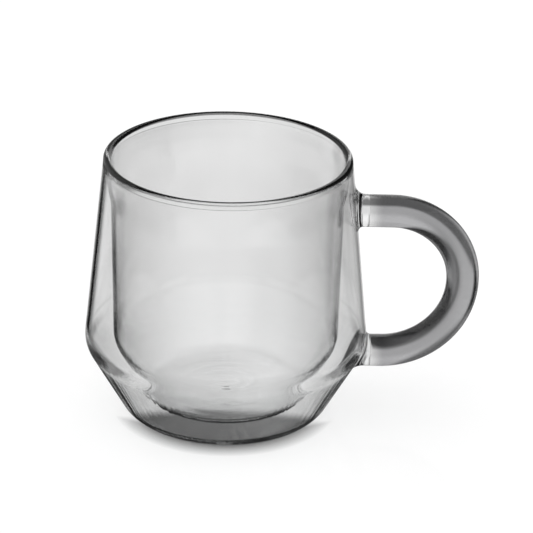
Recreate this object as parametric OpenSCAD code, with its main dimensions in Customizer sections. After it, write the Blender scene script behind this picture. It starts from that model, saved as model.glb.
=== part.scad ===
// Double walled glass cup with a bent rod handle.
// An inner cup hangs inside an outer cup from the rim, where both walls are melted into one lip. The air
// between them is shut in: the vent in the base, through which it escaped while hot, is closed with a dot
// of glass. The handle is a solid rod, welded to the outer cup with a gather of clear glass at each end.
// The cup stands on z = 0 with its axis on z, and the handle points along +x.

/* [Outer cup] */
// Outside diameter at the rim
rim_d = 83; // [78:0.5:90]
// Height of the cup from the table to the rim
cup_h = 92.5; // [84:0.5:110]
// Outside diameter at the shoulder, before it is rounded
shoulder_d = 97; // [92:0.5:102]
// Height of the shoulder above the table
shoulder_h = 26; // [23:0.5:29]
// Radius that rounds the shoulder
shoulder_round = 8.5; // [4:0.5:14]
// Outside diameter of the base, before its edge is rounded
base_d = 68.5; // [64:0.5:74]
// Radius that rounds the edge of the base
base_round = 8; // [4:0.5:11]
// Thickness of the wall above the shoulder
upper_wall = 1.2; // [1:0.1:1.5]
// Thickness of the wall below the shoulder
lower_wall = 1.2; // [1:0.1:2]
// Thickness of the base
base_wall = 2.4; // [1.8:0.1:3.2]
// Radius that rounds the inner face of the shoulder, where the glass gathers a little
shoulder_inner_round = 13; // [6:0.5:16]

/* [Inner cup] */
// Outside diameter of the inner cup below its neck
liner_d = 78.2; // [74:0.2:80]
// Outside diameter of the inner cup at its shoulder, before it is rounded
liner_low_d = 77.2; // [72:0.2:79]
// Outside diameter of the inner cup's bottom, before its edge is rounded
liner_foot_d = 56; // [50:0.5:60]
// Air gap between the two bottoms
foot_gap = 3.6; // [2:0.1:6]
// Height of the inner cup's shoulder above its bottom
liner_shoulder_rise = 20.5; // [16:0.5:24]
// Radius that rounds the inner cup's shoulder
liner_shoulder_round = 11.5; // [6:0.5:16]
// Radius that rounds the edge of the inner cup's bottom
liner_foot_round = 5; // [3:0.5:8]
// Thickness of the inner cup's wall
liner_wall = 1.3; // [1:0.1:1.6]
// Thickness of the inner cup's bottom
liner_foot_wall = 1.8; // [1.4:0.1:2.6]
// Distance from the rim down to where the neck has turned straight
neck_top_drop = 8.5; // [6:0.5:10]
// Distance from the rim down to where the neck starts to widen
neck_low_drop = 15.5; // [13:0.5:20]
// Radius that rounds both turns of the neck
neck_round = 24; // [10:1:30]

/* [Rim] */
// Height of the ring in which the two walls are melted together
rim_h = 3; // [2:0.1:5]

/* [Handle] */
// Diameter of the handle's rod
rod_d = 11.1; // [9:0.1:12.5]
// How far the handle reaches out past the shoulder
handle_out = 37.3; // [35:0.1:45]
// Distance from the rim down to the middle of the upper arm
handle_drop = 18.9; // [17:0.1:22]
// Height of the middle of the lower arm above the table
handle_low_h = 21.4; // [20:0.1:24]
// Where the handle reaches furthest out, as a share of the way up from the lower arm
handle_turn_share = 0.526; // [0.46:0.002:0.54]
// Shortest straight run that each arm keeps between its weld and its bend
arm_run = 2; // [1:0.1:4]
// Shortest straight run between the two bends, where the handle reaches furthest out
upright_run = 0.4; // [0.2:0.1:2]

/* [Welds] */
// How far the upper weld reaches from the wall to the end of the rod
upper_weld_out = 4.1; // [3.5:0.1:7]
// How far the lower weld reaches from the wall to the end of the rod
lower_weld_out = 3.8; // [2.5:0.1:5]
// Radius that blends the wall into the top of the upper arm
upper_weld_top_round = 4; // [2:0.1:5]
// Radius that blends the wall into the underside of the upper arm
upper_weld_under_round = 1.6; // [1:0.1:3]
// Radius that blends the wall into the top of the lower arm
lower_weld_top_round = 1.8; // [1:0.1:3]
// Radius that blends the wall into the underside of the lower arm
lower_weld_under_round = 8; // [4:0.1:9]
// Length of straight collar that each weld keeps next to the rod
weld_land = 0.1; // [0.05:0.05:0.3]
// How far a weld's side runs on past its blend to be sure of the wall
weld_root = 1.5; // [1:0.1:2.5]

/* [Vent] */
// Diameter of the vent in the middle of the base
vent_d = 5; // [3:0.1:8]
// How far the dot of glass that closes the vent swells above the base
vent_swell = 0.5; // [0.3:0.1:1.5]

/* [Hidden] */

// Faces around every round form
$fn = 128;
// Straight steps along each rounded turn of an outline
turn_steps = 14;
// Points around a weld, and steps along its blend into the wall
weld_sides = 36;
weld_steps = 7;
// Angle at which the edge of a weld meets the wall
weld_edge_angle = 20;

clear_glass = [0.84, 0.86, 0.87, 0.4];
lip_glass = [0.74, 0.77, 0.79, 0.6];
weld_glass = [0.78, 0.80, 0.82, 0.5];
smoke_glass = [0.42, 0.43, 0.45, 0.8];
dot_glass = [0.66, 0.68, 0.70, 0.7];

rim_r = rim_d / 2;
shoulder_r = shoulder_d / 2;
base_r = base_d / 2;
rod_r = rod_d / 2;
// The two walls side by side make the lip, so the mouth is what they leave
mouth_r = rim_r - upper_wall - liner_wall;
lip_round = (rim_r - mouth_r) / 2;
// Plane on which the ring of the rim sits on both walls
seam_h = cup_h - rim_h;
// Underside of the inner cup
liner_foot_h = base_wall + foot_gap;

// Places of the handle
handle_top_h = cup_h - handle_drop;
handle_span = handle_top_h - handle_low_h;
rod_far_x = shoulder_r + handle_out - rod_r;

// Leans of the outer cup's two cones, off upright
upper_lean = atan((shoulder_r - rim_r) / (cup_h - shoulder_h));
lower_lean = atan((shoulder_r - base_r) / shoulder_h);

// Unit step from a to b, and the same step turned a quarter to the left
function step_to(a, b) = (b - a) / norm(b - a);
function left(v) = [-v[1], v[0]];
// Where the line through p along u crosses the line through q along v
function crossing(p, u, q, v) = p + u * cross(q - p, v) / cross(u, v);
// A vector turned by an angle
function turned(v, angle) = [v[0] * cos(angle) - v[1] * sin(angle), v[0] * sin(angle) + v[1] * cos(angle)];

// The outline moved to its left, each stretch by its own wall. Its ends stay on their own levels: the
// first on the axis, the last at the height that it has
function inset(path, walls) = [
    for (i = [0 : len(path) - 1])
        i == 0 ? path[0] + walls[0] * left(step_to(path[0], path[1])) :
        i == len(path) - 1 ?
            crossing(
                path[i] + walls[i - 1] * left(step_to(path[i - 1], path[i])), step_to(path[i - 1], path[i]),
                path[i], [1, 0]) :
            crossing(
                path[i] + walls[i - 1] * left(step_to(path[i - 1], path[i])), step_to(path[i - 1], path[i]),
                path[i] + walls[i] * left(step_to(path[i], path[i + 1])), step_to(path[i], path[i + 1]))
];

// The turn at corner b between a and c as points on an arc, whose radius is limited by half of each side
function turn(a, b, c, radius) =
    let(
        into = step_to(a, b),
        away = step_to(b, c),
        side = sign(cross(into, away)),
        half = acos(min(1, into * away)) / 2,
        r = min(radius, min(norm(b - a), norm(c - b)) / 2 / tan(half)),
        start = b - into * r * tan(half),
        centre = start + side * r * left(into)
    )
    [for (k = [0 : turn_steps]) centre + turned(start - centre, side * 2 * half * k / turn_steps)];

// The outline with each inner corner rounded by its own radius
function rounded(path, radii) = [
    for (i = [0 : len(path) - 1])
        each (i == 0 || i == len(path) - 1) ? [path[i]] : turn(path[i - 1], path[i], path[i + 1], radii[i - 1])
];

function reversed(path) = [for (i = [len(path) - 1 : -1 : 0]) path[i]];

// Radius of the outer cup's upper cone at a height
function wall_r(h) = rim_r + (shoulder_r - rim_r) * (cup_h - h) / (cup_h - shoulder_h);

// Outer cup, from the middle of the base up to the seam under the rim
skin_path = [[0, 0], [base_r, 0], [shoulder_r, shoulder_h], [wall_r(seam_h), seam_h]];
skin = rounded(skin_path, [base_round, shoulder_round]);
hollow_path = inset(skin_path, [base_wall, lower_wall, upper_wall]);
hollow = rounded(hollow_path, [base_round - base_wall, shoulder_inner_round]);

// Inner cup, from the middle of its bottom up to the seam
liner_path = [
    [0, liner_foot_h],
    [liner_foot_d / 2, liner_foot_h],
    [liner_low_d / 2, liner_foot_h + liner_shoulder_rise],
    [liner_d / 2, cup_h - neck_low_drop],
    [mouth_r + liner_wall, cup_h - neck_top_drop],
    [mouth_r + liner_wall, seam_h]
];
liner = rounded(liner_path, [liner_foot_round, liner_shoulder_round, neck_round, neck_round]);
bowl_path = inset(liner_path, [liner_foot_wall, liner_wall, liner_wall, liner_wall, liner_wall]);
bowl = rounded(bowl_path, [
    liner_foot_round - liner_wall,
    liner_shoulder_round - liner_wall,
    neck_round + liner_wall,
    neck_round - liner_wall
]);

// How far from the axis the outer cup's skin is at a height, read off its rounded outline
function skin_r(h) = lookup(h, [for (p = skin) if (p[0] > 0) [p[1], p[0]]]);

// Where the rod starts and ends, and its bends: each takes its share of the height between the arms, or the
// room that the reach leaves it. The rod runs upright over the height that they leave
upper_end_x = skin_r(handle_top_h) + upper_weld_out;
lower_end_x = skin_r(handle_low_h) + lower_weld_out;
upper_bend_r = min((1 - handle_turn_share) * (handle_span - upright_run), rod_far_x - upper_end_x - arm_run);
lower_bend_r = min(handle_turn_share * (handle_span - upright_run), rod_far_x - lower_end_x - arm_run);
upright_h = handle_span - upper_bend_r - lower_bend_r;

module inner_cup() {
    color(clear_glass)
        rotate_extrude()
            polygon(concat(liner, reversed(bowl)));
}

// The vent is drilled right through the base
module outer_cup() {
    color(clear_glass)
        difference() {
            rotate_extrude()
                polygon(concat(skin, reversed(hollow)));
            translate([0, 0, -base_wall])
                cylinder(d = vent_d, h = 3 * base_wall);
        }
}

// The lip is rounded over from wall to wall and sits on the ends of both
module rim() {
    lip_path = [[wall_r(seam_h), seam_h], [rim_r, cup_h], [mouth_r, cup_h], [mouth_r, seam_h]];
    color(lip_glass)
        rotate_extrude()
            polygon(rounded(lip_path, [lip_round, lip_round]));
}

// A straight run of rod along z, and what goes on from its end
module run(length) {
    cylinder(d = rod_d, h = length);
    translate([0, 0, length])
        children();
}

// A quarter turn of rod from z towards x, and what goes on from its end
module bend(radius) {
    translate([radius, 0, 0])
        rotate([90, 0, 0])
            rotate([0, 0, 90])
                rotate_extrude(angle = 90)
                    translate([radius, 0])
                        circle(d = rod_d);
    translate([radius, 0, radius])
        rotate([0, 90, 0])
            children();
}

// The handle is bent from one rod, from the end at the upper weld round to the end at the lower weld
module handle() {
    color(smoke_glass)
        translate([upper_end_x, 0, handle_top_h])
            rotate([0, 90, 0])
                run(rod_far_x - upper_bend_r - upper_end_x)
                    bend(upper_bend_r)
                        run(upright_h)
                            bend(lower_bend_r)
                                run(rod_far_x - lower_bend_r - lower_end_x);
}

// A gather of glass round the end of an arm at height h, from the rod's end at end_x into the wall. It blends
// into the wall by an arc of radius top_r above the arm and under_r below it. The wall turns off the arm
// by the angles top_turn and under_turn, and the arc stops a little short of that, so that it meets the
// wall in a clean edge. From there each side runs straight on until it is inside the wall.
module weld(h, end_x, top_r, under_r, top_turn, under_turn) {
    outlines = [
        for (k = [0 : weld_sides - 1])
            let(
                angle = 360 * k / weld_sides,
                up_share = (1 + sin(angle)) / 2,
                r = under_r + (top_r - under_r) * up_share,
                full_turn = under_turn + (top_turn - under_turn) * up_share,
                wall_x = sqrt(pow(skin_r(h + rod_r * sin(angle)), 2) - pow(rod_r * cos(angle), 2)),
                last = min(end_x - weld_land, wall_x + r * tan(full_turn / 2)),
                arc = [
                    for (s = [0 : weld_steps])
                        let(t = (full_turn - weld_edge_angle) * s / weld_steps)
                        [last - r * sin(t), rod_r + r * (1 - cos(t))]
                ],
                heading = step_to(arc[weld_steps - 1], arc[weld_steps])
            )
            [
                for (p = concat([[end_x, rod_r]], arc, [arc[weld_steps] + weld_root * heading]))
                    [p[0], p[1] * cos(angle), h + p[1] * sin(angle)]
            ]
    ];
    rings = weld_steps + 3;
    skin_faces = [
        for (k = [0 : weld_sides - 1], s = [0 : rings - 2])
            let(
                a = k * rings + s,
                b = (k + 1) % weld_sides * rings + s
            )
            each [[a, b, b + 1], [a, b + 1, a + 1]]
    ];
    root = weld_sides * rings;
    root_faces = [
        for (k = [0 : weld_sides - 1])
            [k * rings + rings - 1, (k + 1) % weld_sides * rings + rings - 1, root]
    ];
    end_face = [for (k = [weld_sides - 1 : -1 : 0]) k * rings];
    color(weld_glass)
        difference() {
            polyhedron(
                points = concat([for (outline = outlines) each outline], [[skin_r(h) - under_r - top_r, 0, h]]),
                faces = concat([end_face], skin_faces, root_faces));
            rotate_extrude()
                polygon(concat(skin, [[0, seam_h]]));
        }
}

module upper_weld() {
    weld(
        handle_top_h, upper_end_x, upper_weld_top_round, upper_weld_under_round,
        90 - upper_lean, 90 + upper_lean);
}

module lower_weld() {
    weld(
        handle_low_h, lower_end_x, lower_weld_top_round, lower_weld_under_round,
        90, 90 - lower_lean);
}

// A dot of glass fills the vent and swells into a low dome above the base
module vent_seal() {
    vent_r = vent_d / 2;
    dome_r = (vent_r * vent_r + vent_swell * vent_swell) / (2 * vent_swell);
    color(dot_glass)
        union() {
            cylinder(d = vent_d, h = base_wall);
            intersection() {
                translate([0, 0, base_wall + vent_swell - dome_r])
                    sphere(r = dome_r);
                translate([0, 0, base_wall])
                    cylinder(d = vent_d, h = vent_swell);
            }
        }
}

inner_cup();
outer_cup();
rim();
handle();
upper_weld();
lower_weld();
vent_seal();
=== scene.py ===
import math
import bpy
import numpy as np
from mathutils import Matrix, Vector


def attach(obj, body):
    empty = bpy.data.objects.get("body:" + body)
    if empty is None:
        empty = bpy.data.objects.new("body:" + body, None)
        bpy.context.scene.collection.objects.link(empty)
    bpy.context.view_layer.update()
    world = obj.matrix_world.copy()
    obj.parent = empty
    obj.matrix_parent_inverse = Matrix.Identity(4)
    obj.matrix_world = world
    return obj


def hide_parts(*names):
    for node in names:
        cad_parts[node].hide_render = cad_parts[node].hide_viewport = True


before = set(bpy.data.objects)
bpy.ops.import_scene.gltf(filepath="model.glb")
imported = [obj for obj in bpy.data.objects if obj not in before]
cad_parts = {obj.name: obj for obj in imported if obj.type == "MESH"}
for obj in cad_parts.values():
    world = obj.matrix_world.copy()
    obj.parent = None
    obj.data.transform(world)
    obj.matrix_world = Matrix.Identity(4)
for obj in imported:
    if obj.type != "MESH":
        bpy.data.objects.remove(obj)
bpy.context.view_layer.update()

# The outer cup: the jacket, blown from clear borosilicate tube. An upper cone flares down to a rounded
# shoulder, and a lower cone runs in to a flat base with a rounded edge. The wall is even up both cones
# and twice as thick in the base.
cup_height = 0.0925
rim_radius = 0.0415
shoulder_radius = 0.0485
shoulder_height = 0.026
shoulder_turn = 0.0085
shoulder_inner_turn = 0.013
base_radius = 0.03425
base_turn = 0.008
upper_wall = 0.0012
lower_wall = 0.0012
base_wall = 0.0024
rim_ring = 0.003
seam_height = cup_height - rim_ring


def unit(vector):
    """The vector's heading, one long."""
    return vector / np.linalg.norm(vector)


def to_left(vector):
    """The vector turned a quarter to its left."""
    return np.array([-vector[1], vector[0]])


def cross(a, b):
    """How far b turns off a to the left, times both lengths."""
    return a[0] * b[1] - a[1] * b[0]


def rounded_outline(corners, turns, steps=40):
    """The outline through the corners as [radius, height] points. Each inner corner has an arc of its own."""
    points = [np.array(corners[0], float)]
    for before, corner, after, turn in zip(corners, corners[1:], corners[2:], turns):
        before, corner, after = np.array(before), np.array(corner), np.array(after)
        into, away = unit(corner - before), unit(after - corner)
        side = np.sign(cross(into, away))
        half = math.acos(min(1.0, into @ away)) / 2
        start = corner - into * turn * math.tan(half)
        spoke = -side * turn * to_left(into)
        centre = start - spoke
        for k in range(steps + 1):
            angle = side * 2 * half * k / steps
            turned = math.cos(angle) * spoke + math.sin(angle) * to_left(spoke)
            points.append(centre + turned)
    points.append(np.array(corners[-1], float))
    return np.array(points)


def inset_corners(corners, walls):
    """The corners of the outline's other face. Each stretch lies its own wall further to the left."""
    corners = [np.array(corner, float) for corner in corners]
    along = [unit(b - a) for a, b in zip(corners, corners[1:])]
    moved = [a + wall * to_left(u) for a, wall, u in zip(corners, walls, along)]
    inner = [moved[0]]
    for p, u, q, v in zip(moved, along, moved[1:], along[1:]):
        inner.append(p + u * cross(q - p, v) / cross(u, v))
    last, u = moved[-1], along[-1]
    inner.append(last + u * (corners[-1][1] - last[1]) / u[1])
    return inner


def cone_radius(height):
    """Radius of the upper cone's outside."""
    rise = (cup_height - height) / (cup_height - shoulder_height)
    return rim_radius + (shoulder_radius - rim_radius) * rise


skin_corners = [
    (0, 0),
    (base_radius, 0),
    (shoulder_radius, shoulder_height),
    (cone_radius(seam_height), seam_height),
]
hollow_corners = inset_corners(skin_corners, [base_wall, lower_wall, upper_wall])
skin = rounded_outline(skin_corners, [base_turn, shoulder_turn])
hollow = rounded_outline(hollow_corners, [base_turn - base_wall, shoulder_inner_turn])

# The inner cup: the liner that holds the drink, blown from the same glass and hung in the jacket by its
# mouth. Just below the rim it has a neck, from which it runs down nearly straight to a wide round shoulder
# and a round foot, clear of the jacket all the way.
mouth_radius = 0.039
liner_radius = 0.0391
liner_low_radius = 0.0386
liner_foot_radius = 0.028
foot_gap = 0.0036
foot_height = base_wall + foot_gap
liner_shoulder_rise = 0.0205
liner_wall = 0.0013
foot_wall = 0.0018
neck_top_drop = 0.0085
neck_low_drop = 0.0155
neck_top = cup_height - neck_top_drop
neck_low = cup_height - neck_low_drop
liner_turns = [0.005, 0.0115, 0.024, 0.024]

liner_corners = [
    (0, foot_height),
    (liner_foot_radius, foot_height),
    (liner_low_radius, foot_height + liner_shoulder_rise),
    (liner_radius, neck_low),
    (mouth_radius + liner_wall, neck_top),
    (mouth_radius + liner_wall, seam_height),
]
bowl_corners = inset_corners(liner_corners, [foot_wall] + [liner_wall] * 4)
bowl_turns = [
    liner_turns[0] - liner_wall,
    liner_turns[1] - liner_wall,
    liner_turns[2] + liner_wall,
    liner_turns[3] - liner_wall,
]
liner = rounded_outline(liner_corners, liner_turns)
bowl = rounded_outline(bowl_corners, bowl_turns)

# The rim: both walls are melted together into one ring and fire polished to a round lip. Under the ring
# the air gap ends in a narrow round root.
lip = rounded_outline(
    [
        (cone_radius(seam_height), seam_height),
        (rim_radius, cup_height),
        (mouth_radius, cup_height),
        (mouth_radius, seam_height),
    ],
    [(rim_radius - mouth_radius) / 2] * 2,
)
root_depth = 0.0004
root_turn_share = 0.48
gap_outside = hollow[-1]
gap_inside = liner[-1]
gap_root = rounded_outline(
    [
        gap_outside,
        gap_outside + [0, root_depth],
        gap_inside + [0, root_depth],
        gap_inside,
    ],
    [abs(gap_outside[0] - gap_inside[0]) * root_turn_share] * 2,
    steps=8,
)

# The vent seal: the air between the walls left through a hole in the middle of the base while the rim was
# hot. A dot of clear glass shuts it, flush below and swelling a little above.
vent_radius = 0.0025
vent_swell = 0.0005
vent_rings = 9
vent_curve = (vent_radius**2 + vent_swell**2) / (2 * vent_swell)
vent_dot = np.array(
    [
        (r, base_wall + vent_swell - vent_curve + math.sqrt(vent_curve**2 - r**2))
        for r in np.linspace(0, vent_radius, vent_rings)
    ]
)

# The clear glass: the two cups, the rim and the seal are one body, since they are melted together. The
# outline of what the outer air touches runs from the middle of the base, up the jacket, over the lip and
# down the bowl. The air that is shut in has a closed outline of its own inside it.
columns = 256
fine_step = 0.0002
same_point = 1e-9
longest_step = 0.002
sharpest_step = math.radians(2.8)


def stations(outline, longest, sharpest):
    """The outline with points where it has run or turned far enough since the last one."""
    fine = [outline[0]]
    for a, b in zip(outline, outline[1:]):
        parts = max(1, math.ceil(np.linalg.norm(b - a) / fine_step))
        fine += [a + (b - a) * k / parts for k in range(1, parts + 1)]
    apart = [k == 0 or np.linalg.norm(p - fine[k - 1]) > same_point for k, p in enumerate(fine)]
    fine = np.array(fine)[apart]
    steps = np.diff(fine, axis=0)
    lengths = np.linalg.norm(steps, axis=1)
    headings = np.unwrap(np.arctan2(steps[:, 1], steps[:, 0]))
    kept, run, heading = [fine[0]], 0.0, headings[0]
    for k in range(1, len(fine) - 1):
        run += lengths[k - 1]
        if run >= longest or abs(headings[k] - heading) >= sharpest:
            kept.append(fine[k])
            run, heading = 0.0, headings[k]
    kept.append(fine[-1])
    return np.array(kept)


outside = stations(np.concatenate([skin, lip, bowl[::-1]]), longest_step, sharpest_step)
air_gap = stations(
    np.concatenate([vent_dot, hollow[1:], gap_root, liner[::-1]]), longest_step, sharpest_step
)
glass_points = []
glass_faces = []


def add_shell(outline, inward, windows):
    """Turns the outline once round the axis. Its two ends lie on the axis and close to one point each."""
    start = len(glass_points)
    for radius, height in outline[1:-1]:
        for k in range(columns):
            angle = 2 * math.pi * k / columns
            glass_points.append((radius * math.cos(angle), radius * math.sin(angle), height))
    glass_points.append((0, 0, outline[0][1]))
    glass_points.append((0, 0, outline[-1][1]))
    low, high = len(glass_points) - 2, len(glass_points) - 1
    rows = len(outline) - 2
    for row in range(rows - 1):
        for k in range(columns):
            side = (k + columns // 2) % columns - columns // 2
            if any(w[0] <= row < w[1] and -w[2] <= side < w[2] for w in windows):
                continue
            a, b = start + row * columns + k, start + row * columns + (k + 1) % columns
            c, d = b + columns, a + columns
            glass_faces.append((a, d, c, b) if inward else (a, b, c, d))
    for k in range(columns):
        a, b = start + k, start + (k + 1) % columns
        c, d = start + (rows - 1) * columns + k, start + (rows - 1) * columns + (k + 1) % columns
        glass_faces.append((low, a, b) if inward else (low, b, a))
        glass_faces.append((high, d, c) if inward else (high, c, d))
    return start


# The welds: the ends of the handle are melted onto the jacket with a gather of clear glass each. It flows
# out into the wall in a fillet: wide on top of the upper arm, and widest under the lower one, where the
# shoulder runs away from it.
rod_radius = 0.00555
handle_drop = 0.0189
upper_arm_height = cup_height - handle_drop
lower_arm_height = 0.0214
upper_weld_out = 0.0041
lower_weld_out = 0.0038
# Rings of a weld's mesh: shares of the way from its window's edge to its fillet's foot, steps round the
# fillet, and the collar's rings as shares of its length and of the rod's radius
wall_shares = (0.16, 0.33, 0.5, 0.67, 0.83, 1.0)
fillet_steps = 10
collar_shares = ((0.5, 1.0), (0.9, 1.0), (1.0, 0.985), (1.0, 0.7), (1.0, 0.35))
# The fillet's foot is found by nudging it and letting it settle.
nudge = 0.00001
settling_rounds = 60
skin_rising = skin[np.concatenate([[False], np.diff(skin[:, 1]) > 0])]


def skin_radius(height):
    """Radius of the jacket's rounded outside at a height above its base."""
    return np.interp(height, skin_rising[:, 1], skin_rising[:, 0])


def row_at(height):
    """Row of the jacket's mesh nearest to a height on its outside."""
    lip_row = int(np.argmax(outside[:, 1]))
    return int(np.argmin(abs(outside[1:lip_row, 1] - height)))


# Each weld ends where the rod starts. Its fillet has one radius on top and one under the arm. A window in the
# jacket's mesh, from its lowest row to its highest and so many columns to each side, takes the fillet's foot.
upper_weld = dict(
    height=upper_arm_height,
    end=skin_radius(upper_arm_height) + upper_weld_out,
    top=0.004,
    under=0.0015,
    window=(row_at(0.0625), row_at(0.0868), 10),
)
lower_weld = dict(
    height=lower_arm_height,
    end=skin_radius(lower_arm_height) + lower_weld_out,
    top=0.0013,
    under=0.008,
    window=(row_at(0.0068), row_at(0.0325), 9),
)


def add_weld(start, height, end, top, under, window):
    """Fills the window with wall, fillet and collar, and shuts the collar with a flat end."""
    low_row, high_row, half = window
    turn = [k % columns for k in range(-half, half + 1)]
    loop = [start + low_row * columns + k for k in turn[:-1]]
    loop += [start + row * columns + turn[-1] for row in range(low_row, high_row)]
    loop += [start + high_row * columns + k for k in turn[:0:-1]]
    loop += [start + row * columns + turn[0] for row in range(high_row, low_row, -1)]
    edge = np.array([glass_points[k] for k in loop])
    around = np.arctan2(edge[:, 2] - height, edge[:, 1])
    across, up = np.cos(around), np.sin(around)
    fillet = under + (top - under) * (1 + up) / 2

    def wall_at(reach):
        """How far out the jacket is, so far off the arm's axis."""
        return np.sqrt(skin_radius(height + reach * up) ** 2 - (reach * across) ** 2)

    # The fillet touches the collar and the wall: its centre is a radius off both.
    reach = rod_radius + fillet
    for _ in range(settling_rounds):
        slope = (wall_at(reach + nudge) - wall_at(reach - nudge)) / (2 * nudge)
        normal = np.stack([np.ones_like(slope), -slope], axis=1) / np.sqrt(1 + slope**2)[:, None]
        reach = (reach + rod_radius + fillet * (1 - normal[:, 1])) / 2
    wall = wall_at(reach)
    centre = np.stack([wall, reach], axis=1) + fillet[:, None] * normal

    toe_angle = np.arctan2(reach * across, wall)
    toe_height = height + reach * up
    edge_angle = np.arctan2(edge[:, 1], edge[:, 0])
    for share in wall_shares:
        angle = edge_angle + (toe_angle - edge_angle) * share
        level = edge[:, 2] + (toe_height - edge[:, 2]) * share
        radius = skin_radius(level)
        points = np.stack([radius * np.cos(angle), radius * np.sin(angle), level], axis=1)
        loop = weld_ring(loop, points)
    from_wall = np.arctan2(-normal[:, 1], -normal[:, 0])
    from_wall[from_wall > 0] -= 2 * math.pi
    for share in np.linspace(0, 1, fillet_steps + 1)[1:]:
        angle = from_wall + (-math.pi / 2 - from_wall) * share
        x = centre[:, 0] + fillet * np.cos(angle)
        out = centre[:, 1] + fillet * np.sin(angle)
        loop = weld_ring(loop, np.stack([x, out * across, height + out * up], axis=1))
    # The collar runs straight to its end, with a slight chamfer, and the end face closes in to its middle.
    for share, out in collar_shares:
        x = centre[:, 0] + (end - centre[:, 0]) * share
        points = np.stack([x, rod_radius * out * across, height + rod_radius * out * up], axis=1)
        loop = weld_ring(loop, points)
    glass_points.append((end, 0, height))
    middle = len(glass_points) - 1
    for a, b in zip(loop, loop[1:] + loop[:1]):
        glass_faces.append((a, b, middle))


def weld_ring(loop, points):
    """Adds the next ring of a weld and the quads that join it to the last."""
    first = len(glass_points)
    glass_points.extend(map(tuple, points))
    ring = list(range(first, first + len(points)))
    for a, b, c, d in zip(loop, loop[1:] + loop[:1], ring[1:] + ring[:1], ring):
        glass_faces.append((a, b, c, d))
    return ring


jacket = add_shell(outside, False, [upper_weld["window"], lower_weld["window"]])
add_weld(jacket, **upper_weld)
add_weld(jacket, **lower_weld)
add_shell(air_gap, True, [])

sharp_edge = math.radians(50)
glass_mesh = bpy.data.meshes.new("cup_glass")
glass_mesh.from_pydata(glass_points, [], glass_faces)
glass_mesh.update()
glass_mesh.validate()
glass_mesh.shade_smooth()
glass_mesh.set_sharp_from_angle(angle=sharp_edge)
cup_glass = bpy.data.objects.new("cup_glass", glass_mesh)
bpy.context.collection.objects.link(cup_glass)


# The clear glass is borosilicate, fire polished smooth. It was blown and drawn by hand, which leaves soft
# streaks low down in the walls and slack rings in the two bottoms. It darkens only along a long way.
borosilicate_ior = 1.473
clear_depth_grey = (0.5, 0.51, 0.51, 1)
clear_depth_density = 20.0
clear_white = (1.0, 1.0, 1.0, 1)
streak_grey = (0.975, 0.98, 0.98, 1)
wave_height = 0.00018
# Heights, and radii off the axis, between which the waves set in
low_run = (0.034, 0.016)
streak_run = (0.018, 0.03)
slack_run = (0.034, 0.022)
streak_scale = 7.0
slack_per_metre_out = 260.0
slack_per_metre_across = 45.0
slack_per_metre_up = 200.0


def borosilicate(name, depth_colour, density):
    """Smooth glass whose colour deepens with the way that light goes in it."""
    glass = bpy.data.materials.new(name)
    glass.use_nodes = True
    nodes = glass.node_tree.nodes
    shader = nodes["Principled BSDF"]
    shader.inputs["Roughness"].default_value = 0.0
    shader.inputs["IOR"].default_value = borosilicate_ior
    shader.inputs["Transmission Weight"].default_value = 1.0
    depth = nodes.new("ShaderNodeVolumeAbsorption")
    depth.inputs["Color"].default_value = depth_colour
    depth.inputs["Density"].default_value = density
    glass.node_tree.links.new(depth.outputs["Volume"], nodes["Material Output"].inputs["Volume"])
    return glass


def place_on(tree):
    """Where a point of a piece lies, as a vector."""
    return tree.nodes.new("ShaderNodeTexCoord").outputs["Object"]


def parts_of(tree, vector):
    """The X, Y and Z of a vector, by name."""
    parts = tree.nodes.new("ShaderNodeSeparateXYZ")
    tree.links.new(vector, parts.inputs["Vector"])
    return parts.outputs


def joined(tree, x, y, z):
    """A vector of the parts that are given. A part that is None stays 0."""
    vector = tree.nodes.new("ShaderNodeCombineXYZ")
    for part, socket in zip((x, y, z), vector.inputs):
        if part is not None:
            tree.links.new(part, socket)
    return vector.outputs["Vector"]


def math_of(tree, operation, first, second):
    """What the operation makes of two sources or numbers."""
    maker = tree.nodes.new("ShaderNodeMath")
    maker.operation = operation
    for source, socket in zip((first, second), maker.inputs):
        if isinstance(source, (int, float)):
            socket.default_value = source
        else:
            tree.links.new(source, socket)
    return maker.outputs["Value"]


def length_of(tree, vector):
    """How long a vector is."""
    measure = tree.nodes.new("ShaderNodeVectorMath")
    measure.operation = "LENGTH"
    tree.links.new(vector, measure.inputs[0])
    return measure.outputs["Value"]


def smooth_range(tree, source, start, end, low=0.0, high=1.0):
    """A level that goes smoothly from low where the source is start to high where it is end."""
    span = tree.nodes.new("ShaderNodeMapRange")
    span.interpolation_type = "SMOOTHSTEP"
    span.inputs["From Min"].default_value = start
    span.inputs["From Max"].default_value = end
    span.inputs["To Min"].default_value = low
    span.inputs["To Max"].default_value = high
    tree.links.new(source, span.inputs["Value"])
    return span.outputs["Result"]


def unevenness(tree, place, scale):
    """A level from 0 to 1 that wanders from place to place, with two finer layers on top."""
    wander = tree.nodes.new("ShaderNodeTexNoise")
    wander.inputs["Scale"].default_value = scale
    wander.inputs["Detail"].default_value = 2.0
    tree.links.new(place, wander.inputs["Vector"])
    return wander.outputs["Fac"]


def blended(tree, share, first, second):
    """A colour that goes from the first to the second as the share goes from 0 to 1."""
    blend = tree.nodes.new("ShaderNodeMix")
    blend.data_type = "RGBA"
    tree.links.new(share, blend.inputs[0])
    for colour, socket in ((first, blend.inputs[6]), (second, blend.inputs[7])):
        if isinstance(colour, tuple):
            socket.default_value = colour
        else:
            tree.links.new(colour, socket)
    return blend.outputs[2]


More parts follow.
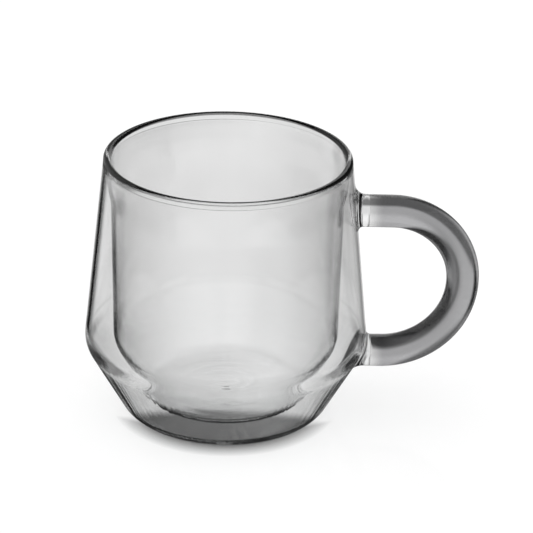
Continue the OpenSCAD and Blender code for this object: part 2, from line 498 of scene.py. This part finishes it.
clear = borosilicate("clear_borosilicate", clear_depth_grey, clear_depth_density)
tree = clear.node_tree
nodes, links = tree.nodes, tree.links
shader = nodes["Principled BSDF"]
spot = parts_of(tree, place_on(tree))
in_plan = joined(tree, spot["X"], spot["Y"], None)
from_axis = length_of(tree, in_plan)
heading = nodes.new("ShaderNodeVectorMath")
heading.operation = "NORMALIZE"
links.new(in_plan, heading.inputs[0])
streaks = unevenness(tree, heading.outputs["Vector"], streak_scale)
ring_place = joined(
    tree,
    math_of(tree, "MULTIPLY", from_axis, slack_per_metre_out),
    math_of(tree, "MULTIPLY", spot["X"], slack_per_metre_across),
    math_of(tree, "MULTIPLY", spot["Z"], slack_per_metre_up),
)
slack = unevenness(tree, ring_place, 1.0)
low_down = smooth_range(tree, spot["Z"], *low_run)
outward = smooth_range(tree, from_axis, *streak_run)
inward = smooth_range(tree, from_axis, *slack_run)
uneven = math_of(
    tree,
    "ADD",
    math_of(tree, "MULTIPLY", streaks, math_of(tree, "MULTIPLY", outward, low_down)),
    math_of(tree, "MULTIPLY", slack, math_of(tree, "MULTIPLY", inward, low_down)),
)
waves = nodes.new("ShaderNodeBump")
waves.inputs["Strength"].default_value = 1.0
waves.inputs["Distance"].default_value = wave_height
links.new(uneven, waves.inputs["Height"])
links.new(waves.outputs["Normal"], shader.inputs["Normal"])
streaked = math_of(tree, "MULTIPLY", streaks, low_down)
links.new(blended(tree, streaked, clear_white, streak_grey), shader.inputs["Base Color"])
glass_mesh.materials.append(clear)

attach(cup_glass, "root")
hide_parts("inner_cup", "outer_cup", "rim", "upper_weld", "lower_weld", "vent_seal")

# The handle: one solid rod of smoke grey borosilicate, bent hot into a D. Each bend takes its share of the
# height between the arms, with a short upright run between the two. Its end faces meet the welds' collars.
handle_out = 0.0373
handle_turn_share = 0.526
upright_run = 0.0004
end_clearance = 0.00002
bend_steps = 40
rod_sides = 96
smoke_depth_grey = (0.3, 0.3, 0.3, 1)
smoke_depth_density = 30.0
smoke_grey = (0.52, 0.52, 0.53, 1)
# Heights between which a point counts to the upper arm, and how far past the weld the colour sets in
arm_run = (0.04, 0.055)
clear_run = (-0.001, 0.005)
# How far out the fine lines that thin the colour set in, how much they thin it, and how fine they are
line_run = (0.074, 0.083)
line_share = 0.3
lines_per_metre = (220.0, 220.0, 900.0)
handle_reach = shoulder_radius + handle_out - rod_radius
span = upper_arm_height - lower_arm_height
upper_end, lower_end = float(upper_weld["end"]), float(lower_weld["end"])

bending_steps = bpy.data.node_groups.new("bent_rod", "GeometryNodeTree")
bending_steps.interface.new_socket("Geometry", in_out="OUTPUT", socket_type="NodeSocketGeometry")
rod_inputs = {
    "Rod Radius": rod_radius,
    "Upper End": upper_end + end_clearance,
    "Lower End": lower_end + end_clearance,
    "Reach": handle_reach,
    "Upper Arm": upper_arm_height,
    "Lower Arm": lower_arm_height,
    "Upper Bend": (1 - handle_turn_share) * (span - upright_run),
    "Lower Bend": handle_turn_share * (span - upright_run),
}
rod_sockets = {}
for name in rod_inputs:
    rod_sockets[name] = bending_steps.interface.new_socket(
        name, in_out="INPUT", socket_type="NodeSocketFloat"
    )
nodes, links = bending_steps.nodes, bending_steps.links
sizes = nodes.new("NodeGroupInput")
result = nodes.new("NodeGroupOutput")

corner_points = nodes.new("GeometryNodeMeshLine")
corner_points.inputs["Count"].default_value = 4
corner_curve = nodes.new("GeometryNodeMeshToCurve")
links.new(corner_points.outputs["Mesh"], corner_curve.inputs["Mesh"])
which = nodes.new("GeometryNodeInputIndex")
corner_place = nodes.new("GeometryNodeIndexSwitch")
corner_place.data_type = "VECTOR"
corner_place.index_switch_items.new()
corner_place.index_switch_items.new()
links.new(which.outputs["Index"], corner_place.inputs["Index"])
for k, (across, up) in enumerate(
    [("Upper End", "Upper Arm"), ("Reach", "Upper Arm"), ("Reach", "Lower Arm"), ("Lower End", "Lower Arm")]
):
    corner = nodes.new("ShaderNodeCombineXYZ")
    links.new(sizes.outputs[across], corner.inputs["X"])
    links.new(sizes.outputs[up], corner.inputs["Z"])
    links.new(corner.outputs["Vector"], corner_place.inputs[k + 1])
placed = nodes.new("GeometryNodeSetPosition")
links.new(corner_curve.outputs["Curve"], placed.inputs["Geometry"])
links.new(corner_place.outputs["Output"], placed.inputs["Position"])
bend_radius = nodes.new("GeometryNodeIndexSwitch")
bend_radius.data_type = "FLOAT"
bend_radius.index_switch_items.new()
bend_radius.index_switch_items.new()
links.new(which.outputs["Index"], bend_radius.inputs["Index"])
links.new(sizes.outputs["Upper Bend"], bend_radius.inputs[2])
links.new(sizes.outputs["Lower Bend"], bend_radius.inputs[3])
bends = nodes.new("GeometryNodeFilletCurve")
bends.mode = "POLY"
bends.inputs["Count"].default_value = bend_steps
bends.inputs["Limit Radius"].default_value = False
links.new(placed.outputs["Geometry"], bends.inputs["Curve"])
links.new(bend_radius.outputs["Output"], bends.inputs["Radius"])
section = nodes.new("GeometryNodeCurvePrimitiveCircle")
section.inputs["Resolution"].default_value = rod_sides
links.new(sizes.outputs["Rod Radius"], section.inputs["Radius"])
sweep = nodes.new("GeometryNodeCurveToMesh")
sweep.inputs["Fill Caps"].default_value = True
links.new(bends.outputs["Curve"], sweep.inputs["Curve"])
links.new(section.outputs["Curve"], sweep.inputs["Profile Curve"])
smooth = nodes.new("GeometryNodeSetShadeSmooth")
links.new(sweep.outputs["Mesh"], smooth.inputs["Geometry"])
real = nodes.new("GeometryNodeRealizeInstances")
links.new(smooth.outputs["Geometry"], real.inputs["Geometry"])
finish_rod = nodes.new("GeometryNodeSetMaterial")
links.new(real.outputs["Geometry"], finish_rod.inputs["Geometry"])
links.new(finish_rod.outputs["Geometry"], result.inputs["Geometry"])

smoke = borosilicate("smoke_borosilicate", smoke_depth_grey, smoke_depth_density)
tree = smoke.node_tree
shader = tree.nodes["Principled BSDF"]
place = place_on(tree)
spot = parts_of(tree, place)
# The clear glass of the welds has run into the ends of the rod and thins its colour there.
end_here = smooth_range(tree, spot["Z"], *arm_run, lower_end, upper_end)
past_end = math_of(tree, "SUBTRACT", spot["X"], end_here)
from_weld = smooth_range(tree, past_end, *clear_run)
# Fine lines thin the colour in the far stretch of the rod.
line_place = tree.nodes.new("ShaderNodeVectorMath")
line_place.operation = "MULTIPLY"
line_place.inputs[1].default_value = lines_per_metre
tree.links.new(place, line_place.inputs[0])
lines = unevenness(tree, line_place.outputs["Vector"], 1.0)
line_strength = smooth_range(tree, spot["X"], *line_run, 0.0, line_share)
smokiness = math_of(tree, "SUBTRACT", from_weld, math_of(tree, "MULTIPLY", lines, line_strength))
tree.links.new(blended(tree, smokiness, clear_white, smoke_grey), shader.inputs["Base Color"])
finish_rod.inputs["Material"].default_value = smoke

blank = bpy.data.objects.new("rod_blank", bpy.data.meshes.new("rod_blank"))
bpy.context.collection.objects.link(blank)
bending = blank.modifiers.new("bending", "NODES")
bending.node_group = bending_steps
for name, size in rod_inputs.items():
    bending[rod_sockets[name].identifier] = size
bpy.context.view_layer.update()
rod_mesh = bpy.data.meshes.new_from_object(blank.evaluated_get(bpy.context.evaluated_depsgraph_get()))
bpy.data.objects.remove(blank)
rod_mesh.name = "handle_rod"
rod_mesh.set_sharp_from_angle(angle=sharp_edge)
handle_rod = bpy.data.objects.new("handle_rod", rod_mesh)
bpy.context.collection.objects.link(handle_rod)
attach(handle_rod, "root")
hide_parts("handle")

# The table: a sheet of white acrylic that the cup stands on. It shows the cup's contact shadow, darkened by
# painted shade in its colour in front of the cup, and, faintly, its mirror image. Glass shows it only close
# to the cup's foot, as a painted pool of light behind the foot's middle with painted shade in front and at
# the sides. Past that glass shows the light ring.
table_drop = 0.0001
table_half = 3.0
# Reach, strength and rays of the painted contact shadow, which darkens the sheet's colour by ambient
# occlusion
painted_shadow_reach = 0.005
painted_shadow_power = 0.65
painted_shadow_rays = 8
table_roughness = 0.04
table_gloss = 0.03
table_glow = 0.055
# Places between which the painted contact shadow ends behind the cup's front
painted_shadow_run = (-0.022, -0.011)
# Places between which the painted pool of light sets in at its front and its sides, and its levels there
front_run = (-0.013, -0.005)
front_levels = (0.13, 1.0)
side_run = (0.042, 0.034)
side_levels = (0.02, 0.8)
front_bow = 4.0
side_slant = 0.4
# Distances between which glass stops showing the table
foot_run = (0.052, 0.08)
table_mesh = bpy.data.meshes.new("table")
table_mesh.from_pydata(
    [
        (-table_half, -table_half, -table_drop),
        (table_half, -table_half, -table_drop),
        (table_half, table_half, -table_drop),
        (-table_half, table_half, -table_drop),
    ],
    [],
    [(0, 1, 2, 3)],
)
table = bpy.data.objects.new("table", table_mesh)
bpy.context.collection.objects.link(table)


def mixed_shaders(tree, share, first, second):
    """A shader that goes from the first to the second as the share goes from 0 to 1."""
    mixer = tree.nodes.new("ShaderNodeMixShader")
    if isinstance(share, float):
        mixer.inputs["Fac"].default_value = share
    else:
        tree.links.new(share, mixer.inputs["Fac"])
    tree.links.new(first, mixer.inputs[1])
    tree.links.new(second, mixer.inputs[2])
    return mixer.outputs["Shader"]


def from_glass(tree, path):
    """1 for a ray that comes out of glass or off it, and 0 for any other."""
    return math_of(tree, "MAXIMUM", path.outputs["Is Transmission Ray"], path.outputs["Is Glossy Ray"])


white = bpy.data.materials.new("white_acrylic")
white.use_nodes = True
tree = white.node_tree
nodes, links = tree.nodes, tree.links
nodes.clear()
place = place_on(tree)
spot = parts_of(tree, place)
# The painted contact shadow: close to the cup, ambient occlusion darkens the sheet's colour, in front of the
# cup only.
touch = nodes.new("ShaderNodeAmbientOcclusion")
touch.inputs["Distance"].default_value = painted_shadow_reach
touch.samples = painted_shadow_rays
painted_contact_shadow = math_of(tree, "POWER", touch.outputs["AO"], painted_shadow_power)
behind = smooth_range(tree, spot["Y"], *painted_shadow_run)
sheet = nodes.new("ShaderNodeBsdfDiffuse")
links.new(math_of(tree, "MAXIMUM", painted_contact_shadow, behind), sheet.inputs["Color"])
mirror = nodes.new("ShaderNodeBsdfGlossy")
mirror.inputs["Roughness"].default_value = table_roughness
glossed = mixed_shaders(tree, table_gloss, sheet.outputs["BSDF"], mirror.outputs["BSDF"])
white_glow = nodes.new("ShaderNodeEmission")
white_glow.inputs["Strength"].default_value = table_glow
in_view = nodes.new("ShaderNodeAddShader")
links.new(glossed, in_view.inputs[0])
links.new(white_glow.outputs["Emission"], in_view.inputs[1])
# The painted pool of light close to the foot glows for glass only. It ends in a bow in front of the cup's
# middle, and on both sides of the cup, where it dims to painted shade.
bow = math_of(tree, "MULTIPLY", math_of(tree, "MULTIPLY", spot["X"], spot["X"]), front_bow)
forward = math_of(tree, "ADD", spot["Y"], bow)
front_edge = smooth_range(tree, forward, *front_run, *front_levels)
aside = math_of(tree, "ABSOLUTE", spot["X"], 0.0)
beside = math_of(tree, "SUBTRACT", aside, math_of(tree, "MULTIPLY", spot["Y"], side_slant))
side_edge = smooth_range(tree, beside, *side_run, *side_levels)
painted_light_patch = nodes.new("ShaderNodeEmission")
links.new(math_of(tree, "MULTIPLY", front_edge, side_edge), painted_light_patch.inputs["Strength"])
clear_way = nodes.new("ShaderNodeBsdfTransparent")
past_foot = smooth_range(tree, length_of(tree, place), *foot_run)
in_glass = mixed_shaders(tree, past_foot, painted_light_patch.outputs["Emission"], clear_way.outputs["BSDF"])
path = nodes.new("ShaderNodeLightPath")
table_shader = mixed_shaders(tree, from_glass(tree, path), in_view.outputs["Shader"], in_glass)
output = nodes.new("ShaderNodeOutputMaterial")
links.new(table_shader, output.inputs["Surface"])
white.cycles.emission_sampling = "NONE"
table_mesh.materials.append(white)

# The light ring: white sheets on edge in three rows round the cup, some lit and some not. Only glass shows
# them. The low ones are bright behind the cup and in front of it. The dark ones beside it and in a gap
# behind it draw the glass's outlines. A row is given as places in degrees from the handle on, and levels.
ring_radius = 0.42
ring_middle = 0.05
ring_low = -66
ring_high = 48
ring_columns = 96
# Rises, in degrees, between which one row of sheets gives way to the next
foot_edge = (-35, -28)
low_edge = (-18, -4)
# How far to the side the foot row starts to climb, and how steeply
climb_start = 0.12
climb_slope = 0.43
# Counts between which a ray has met the table
bounce_edge = (0.4, 0.6)
foot_sheets = [
    (0, 0.03),
    (60, 0.03),
    (70, 0.2),
    (112, 0.22),
    (119, 0.0),
    (195, 0.05),
    (215, 0.6),
    (240, 1.1),
    (300, 1.15),
    (325, 0.8),
    (345, 0.1),
    (360, 0.03),
]
low_sheets = [
    (0, 0.05),
    (18, 0.05),
    (27, 0.35),
    (42, 0.45),
    (48, 0.4),
    (58, 0.4),
    (61, 0.22),
    (65, 0.22),
    (70, 0.6),
    (77, 0.75),
    (106, 0.83),
    (112, 0.25),
    (118, 0.0),
    (132, 0.0),
    (138, 0.85),
    (153, 0.8),
    (162, 0.15),
    (195, 0.12),
    (215, 0.6),
    (240, 1.1),
    (285, 1.1),
    (300, 0.85),
    (325, 0.6),
    (345, 0.15),
    (360, 0.05),
]
high_sheets = [
    (0, 0.3),
    (40, 0.06),
    (62, 0.05),
    (68, 1.0),
    (86, 1.0),
    (92, 0.3),
    (110, 0.25),
    (126, 0.5),
    (142, 0.6),
    (155, 0.65),
    (205, 0.65),
    (230, 0.7),
    (250, 1.0),
    (290, 0.95),
    (320, 0.65),
    (360, 0.3),
]


def rise(degrees):
    """Height on the ring that lies so many degrees above its middle."""
    return ring_middle + ring_radius * math.tan(math.radians(degrees))


def row_of_sheets(tree, turned, stops):
    """The level of a row of sheets so far round the ring, where a full turn is 1."""
    ramp = tree.nodes.new("ShaderNodeValToRGB")
    elements = ramp.color_ramp.elements
    for _ in stops[2:]:
        elements.new(0.5)
    for element, (degrees, level) in zip(elements, stops):
        element.position = degrees / 360
        element.color = (level, level, level, 1)
    tree.links.new(turned, ramp.inputs["Fac"])
    return ramp.outputs["Color"]


ring_points = []
ring_quads = []
for k in range(ring_columns):
    angle = 2 * math.pi * k / ring_columns
    foot = (ring_radius * math.cos(angle), ring_radius * math.sin(angle))
    ring_points += [(*foot, rise(ring_low)), (*foot, rise(ring_high))]
    after = (k + 1) % ring_columns
    ring_quads.append((2 * k, 2 * k + 1, 2 * after + 1, 2 * after))
ring_mesh = bpy.data.meshes.new("light_ring")
ring_mesh.from_pydata(ring_points, [], ring_quads)
light_ring = bpy.data.objects.new("light_ring", ring_mesh)
bpy.context.collection.objects.link(light_ring)
light_ring.visible_camera = False
light_ring.visible_diffuse = False
light_ring.visible_shadow = False

sheets = bpy.data.materials.new("lit_sheets")
sheets.use_nodes = True
tree = sheets.node_tree
nodes, links = tree.nodes, tree.links
nodes.clear()
spot = parts_of(tree, place_on(tree))
compass = math_of(tree, "ARCTAN2", spot["Y"], spot["X"])
turned = math_of(tree, "FRACT", math_of(tree, "DIVIDE", compass, 2 * math.pi), 0.0)
# The foot row reaches higher on the handle's side and on the side across from it.
aside = math_of(tree, "ABSOLUTE", spot["X"], 0.0)
past_start = math_of(tree, "MAXIMUM", math_of(tree, "SUBTRACT", aside, climb_start), 0.0)
climb = math_of(tree, "SUBTRACT", spot["Z"], math_of(tree, "MULTIPLY", past_start, climb_slope))
above_foot = smooth_range(tree, climb, *map(rise, foot_edge))
above_low = smooth_range(tree, spot["Z"], *map(rise, low_edge))
foot_row, low_row, high_row = [
    row_of_sheets(tree, turned, stops) for stops in (foot_sheets, low_sheets, high_sheets)
]
glow = nodes.new("ShaderNodeEmission")
lower_rows = blended(tree, above_foot, foot_row, low_row)
links.new(blended(tree, above_low, lower_rows, high_row), glow.inputs["Color"])
# The ring doesn't light the table: a ray that has met the table goes through the ring.
path = nodes.new("ShaderNodeLightPath")
past_table = smooth_range(tree, path.outputs["Diffuse Depth"], *bounce_edge)
open_way = nodes.new("ShaderNodeBsdfTransparent")
output = nodes.new("ShaderNodeOutputMaterial")
links.new(
    mixed_shaders(tree, past_table, glow.outputs["Emission"], open_way.outputs["BSDF"]),
    output.inputs["Surface"],
)
sheets.cycles.emission_sampling = "NONE"
ring_mesh.materials.append(sheets)

# The room: plain white paper all round, evenly lit, is what the camera sees and what lights the table.
# Above the ring, glass shows a dim ceiling instead.
ceiling_level = 0.05
world = bpy.data.worlds.new("room")
bpy.context.scene.world = world
world.use_nodes = True
tree = world.node_tree
nodes, links = tree.nodes, tree.links
plain = nodes["Background"]
plain.inputs["Color"].default_value = (1, 1, 1, 1)
plain.inputs["Strength"].default_value = 1.0
ceiling = nodes.new("ShaderNodeBackground")
ceiling.inputs["Color"].default_value = (1, 1, 1, 1)
ceiling.inputs["Strength"].default_value = ceiling_level
path = nodes.new("ShaderNodeLightPath")
before_table = smooth_range(tree, path.outputs["Diffuse Depth"], *reversed(bounce_edge))
shows_ceiling = math_of(tree, "MULTIPLY", from_glass(tree, path), before_table)
room = mixed_shaders(tree, shows_ceiling, plain.outputs["Background"], ceiling.outputs["Background"])
links.new(room, nodes["World Output"].inputs["Surface"])

# The camera stands well back in front of the cup and looks down at it with a long lens. Light is followed
# far enough to pass both walls of the front and the back, and the rod.
image_side = 533
focal_pixels = 2354.7
sensor_width = 36
distance = 0.8
aim = Vector((0.01349, 0, 0.05202))
elevation = math.radians(24.637)
roll = math.radians(1.31)
nearest_seen = 0.01
farthest_seen = 20
most_passes = 24
most_mirrorings = 12
back = Vector((0, -math.cos(elevation), math.sin(elevation)))
camera_data = bpy.data.cameras.new("camera")
camera_data.sensor_width = sensor_width
camera_data.lens = focal_pixels / image_side * sensor_width
camera_data.clip_start = nearest_seen
camera_data.clip_end = farthest_seen
camera = bpy.data.objects.new("camera", camera_data)
camera.location = aim + back * distance
camera.rotation_mode = "QUATERNION"
camera.rotation_quaternion = (-back).to_track_quat("-Z", "Y") @ Matrix.Rotation(roll, 3, "Z").to_quaternion()
bpy.context.collection.objects.link(camera)
scene = bpy.context.scene
scene.camera = camera
scene.view_settings.view_transform = "Standard"
scene.cycles.max_bounces = most_passes
scene.cycles.transmission_bounces = most_passes
scene.cycles.glossy_bounces = most_mirrorings
scene.cycles.transparent_max_bounces = most_passes
scene.cycles.blur_glossy = 0.0
